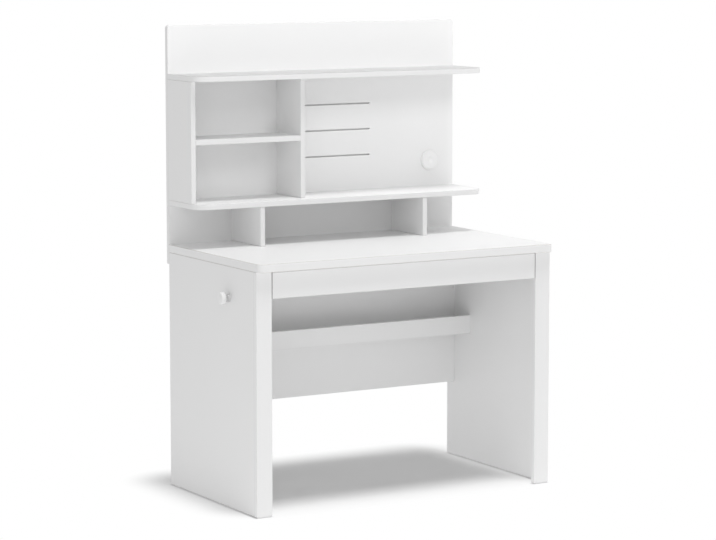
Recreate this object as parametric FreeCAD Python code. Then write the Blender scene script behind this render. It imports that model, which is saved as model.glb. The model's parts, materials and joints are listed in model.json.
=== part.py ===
import FreeCAD, Part
import os

# A student desk with a hutch, in millimetres.
# X runs from the outer face of the left side panel to the right, Y from the front face of the legs to the
# back and Z up from the floor. The pieces are moved on export, so that the origin of the written files is
# the middle of the footprint, on the floor.

# Desk body
body_width = 1026.0             # outer face to outer face of the side panels
body_depth = 563.0              # front face of the stiles to the back edge of the side panels
desk_height = 750.0             # floor to the writing surface
board = 16.0                    # thickness of every laminated board but the desktop
top_thickness = 25.0
top_overhang = 19.0             # desktop in front of the stiles
top_corner = 16.0               # radius of the desktop's front corners in plan
top_ease = 2.5                  # rounding along the desktop's rim
stile_width = 52.0
edge_ease = 1.2                 # rounding along the banded edges of the other boards
joint_ease = 2.0                # rounding round the ends of the hutch's uprights, a fine groove at each joint
modesty_height = 479.5          # down from the underside of the desktop
modesty_recess = 27.0           # back edge of the side panels to the back of the modesty panel
tray_drop = 251.0               # underside of the desktop to the top of the cable tray
tray_height = 58.0
tray_width = 79.0               # clear width of the trough

# Foot glides
glide_height = 3.5
glide_length = 44.0
glide_width = 12.0
glide_pin_length = 14.0
glide_pin_diameter = 6.0
glide_ease = 1.5
glide_rear_inset = 8.0          # from the back edge of the side panel

# Drawer
drawer_gap = 3.0                # round the inset front
drawer_front_height = 77.0
drawer_lip = 6.0                # finger grip below the drawer box
drawer_side_drop = 11.0         # top edge of the front down to the top edge of the sides
drawer_rear_room = 84.0         # back of the drawer to the modesty panel
drawer_bottom_thickness = 3.0
drawer_bottom_rise = 8.0        # lower edge of the sides to the groove
groove_depth = 5.0
groove_fit = 0.3                # round the drawer bottom in its grooves

# Telescopic runners
runner_height = 35.0
runner_thickness = 12.7
runner_sheet = 1.2
runner_setback = 4.0            # back of the drawer front to the front end of the members
runner_rear_gap = 16.0          # back end of the members to the back of the drawer
runner_rise = 19.0              # lower edge of the drawer side to the middle of the runner
packer_margin = 2.5             # packer above and below the runner
ball_diameter = 3.0
ball_gap = 0.3                  # between a ball and its race
race_width = 6.5                # reach of a flange past the web that faces it
middle_web_offset = 4.0         # packer face to the web of the middle member
member_gap = 0.8                # between the end of a flange and the next web
cage_length = 200.0
cage_width = 4.0
cage_thickness = 0.8
cage_balls = 7
cage_hole_fit = 0.1

# Hutch
back_overlap = 60.0             # writing surface down to the lower edge of the back panel
back_rise = 148.0               # top shelf up to the upper edge of the back panel
back_corner = 10.0
shelf_depth = 194.0
shelf_corner = 48.0             # radius of the shelves' front corners in plan
support_height = 121.0
support_inset = 215.0           # end of the shelf to the outer face of a support
support_setback = 2.0           # front of the shelf to the front of a support
box_height = 369.0              # clear height between the two shelves
box_inner_width = 361.0
box_setback = 40.0              # front of the shelf to the front of the box
lower_cubby_height = 177.0
slot_height = 4.8
slot_depth = 10.0
slot_pitch = 81.7
slot_count = 3
slot_top_drop = 95.5            # underside of the top shelf to the middle of the top slot
slot_start_gap = 21.0           # divider to the left end of the slots
slot_right_margin = 312.0       # right end of the slots to the right edge of the panel

# Cable grommet
grommet_hole = 60.0
grommet_flange = 66.0
grommet_proud = 6.5
grommet_bore = 52.0
grommet_recess = 58.0
grommet_recess_depth = 3.0
grommet_fit = 0.3
grommet_from_right = 88.0
grommet_rise = 83.0             # lower shelf to the middle of the grommet
cap_skirt_wall = 2.2
cap_skirt_depth = 9.0
cap_dish_diameter = 28.0
cap_dish_depth = 4.6
cap_boss_diameter = 38.0
cap_boss_depth = 6.0
cap_crown = 0.6

# Bag peg
peg_back = 168.0                # front face of the stiles to the middle of the peg
peg_drop = 93.0                 # underside of the desktop to the middle of the peg
peg_neck_diameter = 24.0
peg_neck_length = 18.0
peg_head_diameter = 36.0
peg_head_length = 14.0
peg_head_ease = 4.0
peg_screw_diameter = 5.0
peg_screw_bite = 10.0           # thread inside the knob

# Fasteners
hole_fit = 0.2                  # round a fastener in its hole
hole_end_gap = 1.0              # beyond the end of a fastener
dowel_diameter = 8.0
dowel_face_depth = 10.0
dowel_edge_depth = 22.0
dowel_chamfer = 1.0
dowel_end_inset = 35.0          # from the end of a joint to the nearest dowel
stile_dowels = 4
stile_dowel_inset = 90.0
cam_diameter = 15.0
cam_height = 12.5
cam_setback = 24.0              # joint face to the middle of the cam
cam_slot_length = 9.0
cam_slot_width = 1.6
cam_slot_depth = 2.5
bolt_thread_diameter = 5.0
bolt_thread_length = 11.0
bolt_shank_diameter = 6.0
bolt_neck_diameter = 4.0
bolt_neck_length = 6.0
bolt_head_diameter = 6.8
bolt_head_length = 3.0
leg_cam_inset = 75.0            # from the ends of the side panel's top edge
leg_dowel_inset = 135.0
modesty_cam_inset = 60.0
panel_screw_length = 50.0
panel_screw_head = 10.0
panel_screw_shank = 7.0
panel_screw_shank_length = 12.0
panel_screw_thread = 6.0
panel_screw_head_length = 3.0
cap_diameter = 12.0
cap_thickness = 1.2
cap_plug_diameter = 4.0
cap_plug_length = 2.0
side_screw_inset = 60.0         # from the ends of the box side to its screws
wood_screw_diameter = 4.0
wood_screw_head = 8.0
wood_screw_head_length = 2.4
packer_screw_bite = 9.0         # thread inside the side panel
packer_screw_inset = 40.0
packer_screw_count = 3
back_screw_bite = 24.0          # thread inside the drawer back
runner_screw_diameter = 3.5
runner_screw_head = 7.0
runner_screw_head_length = 2.0
runner_screw_bite = 12.0
runner_screw_inset = 60.0       # from the ends of the members
runner_screw_count = 3
tray_screw_count = 3
tray_screw_inset = 120.0
open_bay_screws = 3             # top shelf, right of the divider
between_support_screws = 2      # desktop, between the supports

# Levels and places that follow from the sizes
under_top = desk_height - top_thickness
inner_left = board
inner_right = body_width - board
panel_front = board
shelf_z = desk_height + support_height
box_z = shelf_z + board
top_shelf_z = box_z + box_height
hutch_top = top_shelf_z + board + back_rise
hutch_bottom = desk_height - back_overlap
panel_back = body_depth + board
shelf_front = body_depth - shelf_depth
box_front = shelf_front + box_setback
support_front = shelf_front + support_setback
divider_x = board + box_inner_width
divider_right = divider_x + board
right_support_x = body_width - support_inset - board
mid_shelf_z = box_z + lower_cubby_height
modesty_back = body_depth - modesty_recess
modesty_front = modesty_back - board
modesty_bottom = under_top - modesty_height
tray_back = modesty_front
tray_top = under_top - tray_drop
tray_bottom = tray_top - tray_height
tray_rail_back = tray_back - tray_width
tray_rail_front = tray_rail_back - board
front_bottom = under_top - drawer_gap - drawer_front_height
drawer_floor = front_bottom + drawer_lip
drawer_side_height = drawer_front_height - drawer_lip - drawer_side_drop
drawer_side_x = stile_width + runner_thickness
drawer_inner_x = drawer_side_x + board
drawer_front_back = board
drawer_rear = modesty_front - drawer_rear_room
drawer_back_front = drawer_rear - board
groove_z = drawer_floor + drawer_bottom_rise
groove_height = drawer_bottom_thickness + 2 * groove_fit
runner_z = drawer_floor + runner_rise
runner_front = drawer_front_back + runner_setback
runner_back = drawer_rear - runner_rear_gap
grommet_x = body_width - grommet_from_right
grommet_z = box_z + grommet_rise
peg_z = under_top - peg_drop
peg_reach = peg_neck_length + peg_head_length
slot_left = divider_right + slot_start_gap
slot_right = body_width - slot_right_margin
origin = FreeCAD.Vector((body_width - peg_reach) / 2, (panel_back - top_overhang) / 2, 0)

SMALL = 0.01                    # tolerance for picking edges
X = FreeCAD.Vector(1, 0, 0)
Y = FreeCAD.Vector(0, 1, 0)
Z = FreeCAD.Vector(0, 0, 1)

pieces = {}                     # node to its solid
groups = {}                     # node of like pieces to its solids
cuts = {}                       # node to the tools that are cut out of it


def point(x, y, z):
    return FreeCAD.Vector(x, y, z)


def block(x0, x1, y0, y1, z0, z1):
    """A box between three pairs of limits, in either order."""
    low = point(min(x0, x1), min(y0, y1), min(z0, z1))
    return Part.makeBox(abs(x1 - x0), abs(y1 - y0), abs(z1 - z0), low)


def rod(base, axis, length, diameter):
    """A round bar from base along axis."""
    return Part.makeCylinder(diameter / 2, length, base, axis)


def turned(profile):
    """A solid turned about +Z from (radius, height) points that start and end on the axis."""
    corners = [point(radius, 0, height) for radius, height in profile]
    return Part.Face(Part.makePolygon(corners + corners[:1])).revolve(point(0, 0, 0), Z, 360)


def placed(shape, base, axis):
    """A copy of a shape made along +Z at the origin, moved to base and turned to point along axis."""
    copy = shape.copy()
    copy.Placement = FreeCAD.Placement(base, FreeCAD.Rotation(Z, axis))
    return copy


def eased(solid, radius, pick):
    """The solid with the edges rounded whose bounding box the pick accepts."""
    return solid.makeFillet(radius, [edge for edge in solid.Edges if pick(edge.BoundBox)])


def along_rim(box, back):
    """Whether an edge lies in a level plane and is not the one along the back."""
    return box.ZLength < SMALL and box.YMin < back - SMALL


def upright_in_front(box, front):
    """Whether an edge stands upright in the front plane."""
    return box.XLength < SMALL and box.YLength < SMALL and abs(box.YMin - front) < SMALL


def add(group, solid):
    groups.setdefault(group, []).append(solid)


def cut(node, *tools):
    cuts.setdefault(node, []).extend(tools)


def evenly(first, last, count):
    """Count places from first to last."""
    return [first + (last - first) * step / (count - 1) for step in range(count)]


def middles(first, last, count):
    """The middles of count equal parts of a span."""
    return [first + (last - first) * (part + 0.5) / count for part in range(count)]


def across(side, x):
    """A place on the left half, or its mirror image on the right half."""
    return x if side == "left" else body_width - x


def inwards(side):
    """The direction from a side panel towards the middle of the desk."""
    return X if side == "left" else -X


# Fasteners, each made along +Z with its joint face or its head at the origin

dowel_shape = turned([
    (0, -dowel_face_depth),
    (dowel_diameter / 2 - dowel_chamfer, -dowel_face_depth),
    (dowel_diameter / 2, dowel_chamfer - dowel_face_depth),
    (dowel_diameter / 2, dowel_edge_depth - dowel_chamfer),
    (dowel_diameter / 2 - dowel_chamfer, dowel_edge_depth),
    (0, dowel_edge_depth),
])
dowel_hole = Part.makeCylinder(
    dowel_diameter / 2 + hole_fit,
    dowel_face_depth + dowel_edge_depth + 2 * hole_end_gap,
    point(0, 0, -dowel_face_depth - hole_end_gap),
)


def dowel(group, face_board, edge_board, place, axis):
    """A dowel across a joint, with axis from the face of one board into the edge of the other."""
    add(group, placed(dowel_shape, place, axis))
    hole = placed(dowel_hole, place, axis)
    cut(face_board, hole)
    cut(edge_board, hole)


def bolt_shape():
    """A cam bolt: thread below the joint face, then a shank, a neck and a head at the middle of the cam."""
    head_start = cam_setback - bolt_head_length / 2
    neck_start = head_start - bolt_neck_length
    return turned([
        (0, -bolt_thread_length),
        (bolt_thread_diameter / 2, -bolt_thread_length),
        (bolt_thread_diameter / 2, 0),
        (bolt_shank_diameter / 2, 0),
        (bolt_shank_diameter / 2, neck_start),
        (bolt_neck_diameter / 2, neck_start),
        (bolt_neck_diameter / 2, head_start),
        (bolt_head_diameter / 2, head_start),
        (bolt_head_diameter / 2, head_start + bolt_head_length),
        (0, head_start + bolt_head_length),
    ])


def cam_joint(cams, bolts, bolt_board, cam_board, place, axis, face):
    """A cam lock and its bolt.

    The bolt stands in the face of one board at place and runs along axis into the edge of the other. The
    cam is let into the side of that board that faces along face, half a board from the bolt.
    """
    centre = place + axis * cam_setback
    mouth = centre + face * (board / 2)
    head_end = cam_setback + bolt_head_length / 2 + hole_end_gap
    shank_hole = rod(place, axis, head_end, bolt_head_diameter + 2 * hole_fit)
    slot = Part.makeBox(cam_slot_length, cam_slot_width, cam_slot_depth)
    slot.translate(point(-cam_slot_length / 2, -cam_slot_width / 2, 0))
    cross = slot.copy()
    cross.rotate(point(0, 0, 0), Z, 90)
    recess = [placed(shape, mouth, -face) for shape in (slot, cross)]
    cam = rod(mouth, -face, cam_height, cam_diameter)
    add(cams, cam.cut([shank_hole] + recess))
    add(bolts, placed(bolt_shape(), place, axis))
    cam_bore = rod(mouth, -face, cam_height + hole_end_gap / 2, cam_diameter + 2 * hole_fit)
    cut(cam_board, cam_bore, shank_hole)
    thread_depth = bolt_thread_length + hole_end_gap
    cut(bolt_board, rod(place, -axis, thread_depth, bolt_thread_diameter + 2 * hole_fit))


def panel_screw_shape():
    """A one-piece connecting screw with its countersunk head below the thickness of a cap."""
    head_bottom = cap_thickness + panel_screw_head_length
    shank_end = head_bottom + panel_screw_shank_length
    tip = cap_thickness + panel_screw_length
    return turned([
        (0, cap_thickness + cap_plug_length),
        (cap_plug_diameter / 2 + hole_fit, cap_thickness + cap_plug_length),
        (cap_plug_diameter / 2 + hole_fit, cap_thickness),
        (panel_screw_head / 2, cap_thickness),
        (panel_screw_shank / 2, head_bottom),
        (panel_screw_shank / 2, shank_end),
        (panel_screw_thread / 2, shank_end),
        (panel_screw_thread / 2, tip - panel_screw_thread / 2),
        (0, tip),
    ])


def cap_shape():
    """A cover cap with a short plug for the socket of the screw."""
    return turned([
        (0, 0),
        (cap_diameter / 2, 0),
        (cap_diameter / 2, cap_thickness),
        (cap_plug_diameter / 2, cap_thickness),
        (cap_plug_diameter / 2, cap_thickness + cap_plug_length - hole_fit),
        (0, cap_thickness + cap_plug_length - hole_fit),
    ])


def panel_screw(outer_board, inner_board, place, axis):
    """A connecting screw with its cap, from the outer face of one board into the edge of the next."""
    add("panel_screws", placed(panel_screw_shape(), place, axis))
    add("panel_screw_caps", placed(cap_shape(), place, axis))
    head_place = place + axis * cap_thickness
    cut(outer_board, rod(place, axis, cap_thickness, cap_diameter + 2 * hole_fit))
    cut(outer_board, rod(head_place, axis, panel_screw_head_length, panel_screw_head + 2 * hole_fit))
    cut(outer_board, rod(place, axis, board, panel_screw_shank + 2 * hole_fit))
    thread_depth = cap_thickness + panel_screw_length + hole_end_gap
    cut(inner_board, rod(place, axis, thread_depth, panel_screw_shank + 2 * hole_fit))


def flat_screw(group, boards, place, axis, length, diameter=wood_screw_diameter):
    """A countersunk wood screw whose head lies flush in the first of the boards."""
    head = diameter * wood_screw_head / wood_screw_diameter
    add(group, placed(turned([
        (0, 0),
        (head / 2, 0),
        (diameter / 2, wood_screw_head_length),
        (diameter / 2, length - diameter / 2),
        (0, length),
    ]), place, axis))
    sink = turned([
        (0, 0),
        (head / 2 + hole_fit, 0),
        (diameter / 2 + hole_fit, wood_screw_head_length),
        (0, wood_screw_head_length),
    ])
    cut(boards[0], placed(sink, place, axis))
    for node in boards:
        cut(node, rod(place, axis, length + hole_end_gap, diameter + 2 * hole_fit))


def pan_screw(group, sheet_node, board_node, place, axis):
    """A pan-head screw that holds a runner member, with place on the sheet's face under the head."""
    radius = runner_screw_diameter / 2
    length = runner_sheet + runner_screw_bite
    add(group, placed(turned([
        (0, -runner_screw_head_length),
        (radius, -runner_screw_head_length),
        (runner_screw_head / 2, -runner_screw_head_length / 2),
        (runner_screw_head / 2, 0),
        (radius, 0),
        (radius, length - radius),
        (0, length),
    ]), place, axis))
    hole = rod(place, axis, length + hole_end_gap, runner_screw_diameter + 2 * hole_fit)
    cut(sheet_node, hole)
    cut(board_node, hole)


# Desk

def rounded_slab(x0, x1, front, back, z0, thickness, corner, ease):
    """A level board with its two front corners rounded in plan and its rim eased, square along the back."""
    slab = block(x0, x1, front, back, z0, z0 + thickness)
    slab = eased(slab, corner, lambda box: upright_in_front(box, front))
    return eased(slab, ease, lambda box: along_rim(box, back))


def make_desktop():
    pieces["desktop"] = rounded_slab(
        0, body_width, -top_overhang, body_depth, under_top, top_thickness, top_corner, top_ease
    )


def make_leg(side):
    """A side panel with the stile that stands in front of it and the fasteners that hold them."""
    panel = side + "_side_panel"
    stile = side + "_front_stile"
    outer = across(side, 0)
    middle = across(side, board / 2)
    inner = across(side, board)
    pieces[panel] = block(outer, inner, panel_front, body_depth, glide_height, under_top)
    post = block(outer, across(side, stile_width), 0, panel_front, glide_height, under_top)
    pieces[stile] = eased(post, edge_ease, lambda box: upright_in_front(box, 0))
    heights = evenly(glide_height + stile_dowel_inset, under_top - stile_dowel_inset, stile_dowels)
    for height in heights:
        dowel("desk_dowels", stile, panel, point(middle, panel_front, height), Y)
    for y in (panel_front + leg_cam_inset, body_depth - leg_cam_inset):
        joint = point(middle, y, under_top)
        cam_joint("desk_cam_locks", "desk_cam_bolts", "desktop", panel, joint, -Z, inwards(side))
    for y in (panel_front + leg_dowel_inset, body_depth - leg_dowel_inset):
        dowel("desk_dowels", "desktop", panel, point(middle, y, under_top), -Z)
    make_glides(side, panel, stile)


def make_glides(side, panel, stile):
    """A glide under the stile and one under the back of the side panel, each with a pin up into the board."""
    rear = body_depth - glide_rear_inset
    stile_middle = across(side, stile_width / 2)
    panel_middle = across(side, board / 2)
    seats = (
        (stile, stile_middle, panel_front / 2, glide_length, glide_width),
        (panel, panel_middle, rear - glide_length / 2, glide_width, glide_length),
    )
    for node, x, y, size_x, size_y in seats:
        pad = block(x - size_x / 2, x + size_x / 2, y - size_y / 2, y + size_y / 2, 0, glide_height)
        pad = eased(pad, glide_ease, lambda box: box.ZLength > SMALL or box.ZMax < SMALL)
        pin = rod(point(x, y, 0), Z, glide_height + glide_pin_length, glide_pin_diameter)
        add("foot_glides", pad.fuse(pin).removeSplitter())
        hole_length = glide_pin_length + hole_end_gap
        cut(node, rod(point(x, y, glide_height), Z, hole_length, glide_pin_diameter + 2 * hole_fit))


def make_modesty_panel():
    pieces["modesty_panel"] = block(
        inner_left, inner_right, modesty_front, modesty_back, modesty_bottom, under_top
    )
    middle = modesty_front + board / 2
    for side in ("left", "right"):
        panel = side + "_side_panel"
        inner = across(side, board)
        for height in (modesty_bottom + modesty_cam_inset, under_top - modesty_cam_inset):
            joint = point(inner, middle, height)
            cam_joint("desk_cam_locks", "desk_cam_bolts", panel, "modesty_panel", joint, inwards(side), Y)
        joint = point(inner, middle, (modesty_bottom + under_top) / 2)
        dowel("desk_dowels", panel, "modesty_panel", joint, inwards(side))


def make_cable_tray():
    """A trough for cables: a front rail between the legs and a bottom board back to the modesty panel."""
    rail = block(inner_left, inner_right, tray_rail_front, tray_rail_back, tray_bottom, tray_top)
    pieces["cable_tray_front"] = rail
    floor_top = tray_bottom + board
    floor = block(inner_left, inner_right, tray_rail_back, tray_back, tray_bottom, floor_top)
    pieces["cable_tray_bottom"] = floor
    rail_middle = tray_rail_front + board / 2
    cam_height_z = (tray_bottom + tray_top) / 2
    dowel_z = tray_top - board / 2 - hole_end_gap
    for side in ("left", "right"):
        panel = side + "_side_panel"
        inner = across(side, board)
        joint = point(inner, rail_middle, cam_height_z)
        cam_joint("desk_cam_locks", "desk_cam_bolts", panel, "cable_tray_front", joint, inwards(side), Y)
        dowel("desk_dowels", panel, "cable_tray_front", point(inner, rail_middle, dowel_z), inwards(side))
    floor_middle = tray_bottom + board / 2
    for x in evenly(inner_left + tray_screw_inset, inner_right - tray_screw_inset, tray_screw_count):
        joint = point(x, tray_rail_back, floor_middle)
        dowel("desk_dowels", "cable_tray_front", "cable_tray_bottom", joint, Y)
        panel_screw("modesty_panel", "cable_tray_bottom", point(x, modesty_back, floor_middle), -Y)


def make_bag_peg():
    """A knob on a metal sleeve on the outside of the left side panel, held by a screw from inside."""
    pieces["bag_peg_sleeve"] = rod(point(0, peg_back, peg_z), -X, peg_neck_length, peg_neck_diameter)
    knob = rod(point(-peg_neck_length, peg_back, peg_z), -X, peg_head_length, peg_head_diameter)
    pieces["bag_peg"] = eased(knob, peg_head_ease, lambda box: box.XMin < -peg_reach + SMALL)
    length = board + peg_neck_length + peg_screw_bite
    boards = ["left_side_panel", "bag_peg_sleeve", "bag_peg"]
    flat_screw("bag_peg_screw", boards, point(board, peg_back, peg_z), -X, length, peg_screw_diameter)


def make_packer(side):
    """The batten that brings the runner out to the edge of the stile, with its screws."""
    node = side + "_runner_packer"
    half = runner_height / 2 + packer_margin
    inner = across(side, board)
    face = across(side, stile_width)
    pieces[node] = block(inner, face, panel_front, drawer_rear, runner_z - half, runner_z + half)
    length = stile_width - board + packer_screw_bite
    first_screw = panel_front + packer_screw_inset
    for y in evenly(first_screw, drawer_rear - packer_screw_inset, packer_screw_count):
        place = point(face, y, runner_z)
        flat_screw("packer_screws", [node, side + "_side_panel"], place, -inwards(side), length)


def channel(side, web, flange_end, half_height, opening):
    """A rolled channel along Y: a web and two flanges, with its mouth towards opening (1 is inwards)."""
    web_back = across(side, web)
    web_front = across(side, web + opening * runner_sheet)
    end = across(side, flange_end)
    bottom = runner_z - half_height
    top = runner_z + half_height
    solid = block(web_back, web_front, runner_front, runner_back, bottom, top)
    for low in (bottom, top - runner_sheet):
        solid = solid.fuse(block(web_back, end, runner_front, runner_back, low, low + runner_sheet))
    return solid.removeSplitter()


def make_runner(side):
    """A three-member telescopic runner with ball cages between its members."""
    outer_half = runner_height / 2
    race = ball_diameter + 2 * ball_gap
    middle_half = outer_half - runner_sheet - race
    inner_half = middle_half - runner_sheet - race
    face = stile_width
    middle_web = face + middle_web_offset
    inner_web = face + runner_thickness
    middle_end = inner_web - runner_sheet - member_gap
    inner_end = middle_web + runner_sheet + member_gap
    pieces[side + "_runner_outer"] = channel(side, face, middle_web + race_width, outer_half, 1)
    pieces[side + "_runner_middle"] = channel(side, middle_web, middle_end, middle_half, 1)
    pieces[side + "_runner_inner"] = channel(side, inner_web, inner_end, inner_half, -1)
    outer_race = outer_half - runner_sheet - race / 2
    inner_race = middle_half - runner_sheet - race / 2
    make_cages(side, "outer_ball_cages", middle_web + race_width / 2, outer_race)
    make_cages(side, "inner_ball_cages", (inner_end + middle_end) / 2, inner_race)
    first_screw = runner_front + runner_screw_inset
    last_screw = runner_back - runner_screw_inset
    for y in evenly(first_screw, last_screw, runner_screw_count):
        seat = point(across(side, face + runner_sheet), y, runner_z)
        outer = side + "_runner_outer"
        pan_screw("runner_cabinet_screws", outer, side + "_runner_packer", seat, -inwards(side))
        seat = point(across(side, inner_web - runner_sheet), y, runner_z)
        inner = side + "_runner_inner"
        pan_screw("runner_drawer_screws", inner, "drawer_%s_side" % side, seat, inwards(side))


def make_cages(side, group, race_x, race_z):
    """The upper and lower ball cage of one pair of members: a thin strip with its balls."""
    x = across(side, race_x)
    half = cage_width / 2
    start = (runner_front + runner_back - cage_length) / 2
    for level in (runner_z - race_z, runner_z + race_z):
        low = level - cage_thickness / 2
        strip = block(x - half, x + half, start, start + cage_length, low, low + cage_thickness)
        places = [point(x, y, level) for y in middles(start, start + cage_length, cage_balls)]
        hole = ball_diameter + 2 * cage_hole_fit
        holes = [rod(place - Z * cage_thickness, Z, 2 * cage_thickness, hole) for place in places]
        add(group, strip.cut(holes))
        for place in places:
            add(group, Part.makeSphere(ball_diameter / 2, place))


def make_drawer():
    """The inset front with the box behind it, cammed and dowelled to the front and screwed at the back."""
    front_left = stile_width + drawer_gap
    front_right = body_width - front_left
    front_top = front_bottom + drawer_front_height
    front = block(front_left, front_right, 0, drawer_front_back, front_bottom, front_top)
    pieces["drawer_front"] = eased(front, edge_ease, lambda box: box.YMax < SMALL)
    drawer_top = drawer_floor + drawer_side_height
    for side in ("left", "right"):
        node = "drawer_%s_side" % side
        outer = across(side, drawer_side_x)
        inner = across(side, drawer_inner_x)
        middle = (outer + inner) / 2
        pieces[node] = block(outer, inner, drawer_front_back, drawer_rear, drawer_floor, drawer_top)
        cam_z = groove_z + groove_height + cam_diameter / 2 + hole_end_gap
        joint = point(middle, drawer_front_back, cam_z)
        cam_joint("drawer_cam_locks", "drawer_cam_bolts", "drawer_front", node, joint, Y, inwards(side))
        dowel_z = drawer_top - dowel_diameter
        dowel("drawer_dowels", "drawer_front", node, point(middle, drawer_front_back, dowel_z), Y)
        back_middle = drawer_back_front + board / 2
        for height in (groove_z + groove_height + wood_screw_head, drawer_top - wood_screw_head):
            place = point(outer, back_middle, height)
            length = board + back_screw_bite
            flat_screw("drawer_back_screws", [node, "drawer_back"], place, inwards(side), length)
    near = drawer_inner_x
    far = body_width - drawer_inner_x
    pieces["drawer_back"] = block(near, far, drawer_back_front, drawer_rear, drawer_floor, drawer_top)
    reach = groove_depth - groove_fit
    low = groove_z + groove_fit
    pieces["drawer_bottom"] = block(
        near - reach,
        far + reach,
        drawer_front_back - reach,
        drawer_back_front + reach,
        low,
        low + drawer_bottom_thickness,
    )
    groove = block(
        near - groove_depth,
        far + groove_depth,
        drawer_front_back - groove_depth,
        drawer_back_front + groove_depth,
        groove_z,
        groove_z + groove_height,
    )
    for node in ("drawer_front", "drawer_left_side", "drawer_right_side", "drawer_back"):
        cut(node, groove)


# Hutch

def upper_corner(box):
    """Whether an edge runs from front to back at the top of the hutch."""
    return box.XLength < SMALL and box.ZLength < SMALL and box.ZMin > hutch_top - SMALL


def make_back_panel():
    panel = block(0, body_width, body_depth, panel_back, hutch_bottom, hutch_top)
    panel = eased(panel, back_corner, upper_corner)
    pieces["hutch_back_panel"] = eased(panel, edge_ease, lambda box: box.YLength < SMALL)
    radius = slot_height / 2
    for step in range(slot_count):
        middle = top_shelf_z - slot_top_drop - step * slot_pitch
        left_end = point(slot_left + radius, body_depth, middle)
        right_end = point(slot_right - radius, body_depth, middle)
        floor = body_depth + slot_depth
        span = block(left_end.x, right_end.x, body_depth, floor, middle - radius, middle + radius)
        ends = [rod(end, Y, slot_depth, slot_height) for end in (left_end, right_end)]
        cut("hutch_back_panel", span, *ends)


def make_shelves():
    """The two full-width shelves and the screws that hold them and the desktop to the back panel."""
    left_bay = middles(0, support_inset, 1)
    right_bay = middles(right_support_x + board, body_width, 1)
    left_support_right = support_inset + board
    under_box = middles(left_support_right, divider_x, 1) + middles(divider_right, right_support_x, 1)
    between_supports = middles(left_support_right, right_support_x, between_support_screws)
    above_box = middles(board, divider_x, 1) + middles(divider_right, body_width, open_bay_screws)
    places = {
        "hutch_lower_shelf": left_bay + under_box + right_bay,
        "hutch_top_shelf": above_box,
        "desktop": left_bay + between_supports + right_bay,
    }
    levels = {
        "hutch_lower_shelf": shelf_z + board / 2,
        "hutch_top_shelf": top_shelf_z + board / 2,
        "desktop": under_top + top_thickness / 2,
    }
    for node, z in (("hutch_lower_shelf", shelf_z), ("hutch_top_shelf", top_shelf_z)):
        pieces[node] = rounded_slab(0, body_width, shelf_front, body_depth, z, board, shelf_corner, edge_ease)
    for node, xs in places.items():
        for x in xs:
            panel_screw("hutch_back_panel", node, point(x, panel_back, levels[node]), -Y)


def standing_board(node, x, front, z0, z1, below, above):
    """An upright board of the hutch, eased in front and round its ends, with dowels at both ends."""
    upright = block(x, x + board, front, body_depth, z0, z1)
    upright = eased(upright, edge_ease, lambda box: upright_in_front(box, front))
    pieces[node] = eased(upright, joint_ease, lambda box: along_rim(box, body_depth))
    middle = x + board / 2
    for y in (front + dowel_end_inset, body_depth - dowel_end_inset):
        dowel("hutch_dowels", below, node, point(middle, y, z0), Z)
        dowel("hutch_dowels", above, node, point(middle, y, z1), -Z)


def make_uprights():
    for side, x in (("left", support_inset), ("right", right_support_x)):
        node = side + "_shelf_support"
        standing_board(node, x, support_front, desk_height, shelf_z, "desktop", "hutch_lower_shelf")
        place = point(x + board / 2, panel_back, desk_height + support_height / 2)
        panel_screw("hutch_back_panel", node, place, -Y)
    for node, x in (("hutch_left_side", 0), ("hutch_divider", divider_x)):
        standing_board(node, x, box_front, box_z, top_shelf_z, "hutch_lower_shelf", "hutch_top_shelf")
        for height in (box_z + side_screw_inset, top_shelf_z - side_screw_inset):
            panel_screw("hutch_back_panel", node, point(x + board / 2, panel_back, height), -Y)


def level_in_front(box):
    """Whether an edge lies level in the front plane of the box."""
    return box.ZLength < SMALL and box.YMax < box_front + SMALL


def make_mid_shelf():
    shelf = block(board, divider_x, box_front, body_depth, mid_shelf_z, mid_shelf_z + board)
    pieces["hutch_mid_shelf"] = eased(shelf, edge_ease, level_in_front)
    middle = mid_shelf_z + board / 2
    for y in (box_front + dowel_end_inset, body_depth - dowel_end_inset):
        dowel("hutch_dowels", "hutch_left_side", "hutch_mid_shelf", point(board, y, middle), X)
        dowel("hutch_dowels", "hutch_divider", "hutch_mid_shelf", point(divider_x, y, middle), -X)
    place = point((board + divider_x) / 2, panel_back, middle)
    panel_screw("hutch_back_panel", "hutch_mid_shelf", place, -Y)


def make_grommet():
    """A sleeve with a flange in the back panel and a cap that turns in it."""
    face = point(grommet_x, body_depth - grommet_proud, grommet_z)
    flange = rod(face, Y, grommet_proud, grommet_flange)
    flange = eased(flange, edge_ease, lambda box: box.YMax < face.y + SMALL)
    tube = rod(face, Y, grommet_proud + board, grommet_hole)
    hollow = [
        rod(face, Y, grommet_recess_depth, grommet_recess),
        rod(face, Y, grommet_proud + board, grommet_bore),
    ]
    pieces["grommet_sleeve"] = flange.fuse(tube).cut(hollow).removeSplitter()
    cut("hutch_back_panel", rod(face, Y, grommet_proud + board, grommet_hole + 2 * hole_fit))

    disc_radius = grommet_recess / 2 - grommet_fit
    skirt_radius = grommet_bore / 2 - grommet_fit
    seat = grommet_recess_depth - grommet_fit
    disc = rod(face - Y * cap_crown, Y, seat + cap_crown, 2 * disc_radius)
    disc = eased(disc, cap_crown, lambda box: box.YMax < face.y)
    skirt = rod(face, Y, cap_skirt_depth, 2 * skirt_radius)
    boss = rod(face, Y, cap_boss_depth, cap_boss_diameter)
    inside = rod(face + Y * seat, Y, cap_skirt_depth, 2 * (skirt_radius - cap_skirt_wall))
    skirt = skirt.cut(inside)
    dish_half = cap_dish_diameter / 2
    dish_radius = (dish_half**2 + cap_dish_depth**2) / (2 * cap_dish_depth)
    dish = Part.makeSphere(dish_radius, face - Y * (cap_crown + dish_radius - cap_dish_depth))
    pieces["grommet_cap"] = disc.fuse([skirt, boss]).cut(dish).removeSplitter()


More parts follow.
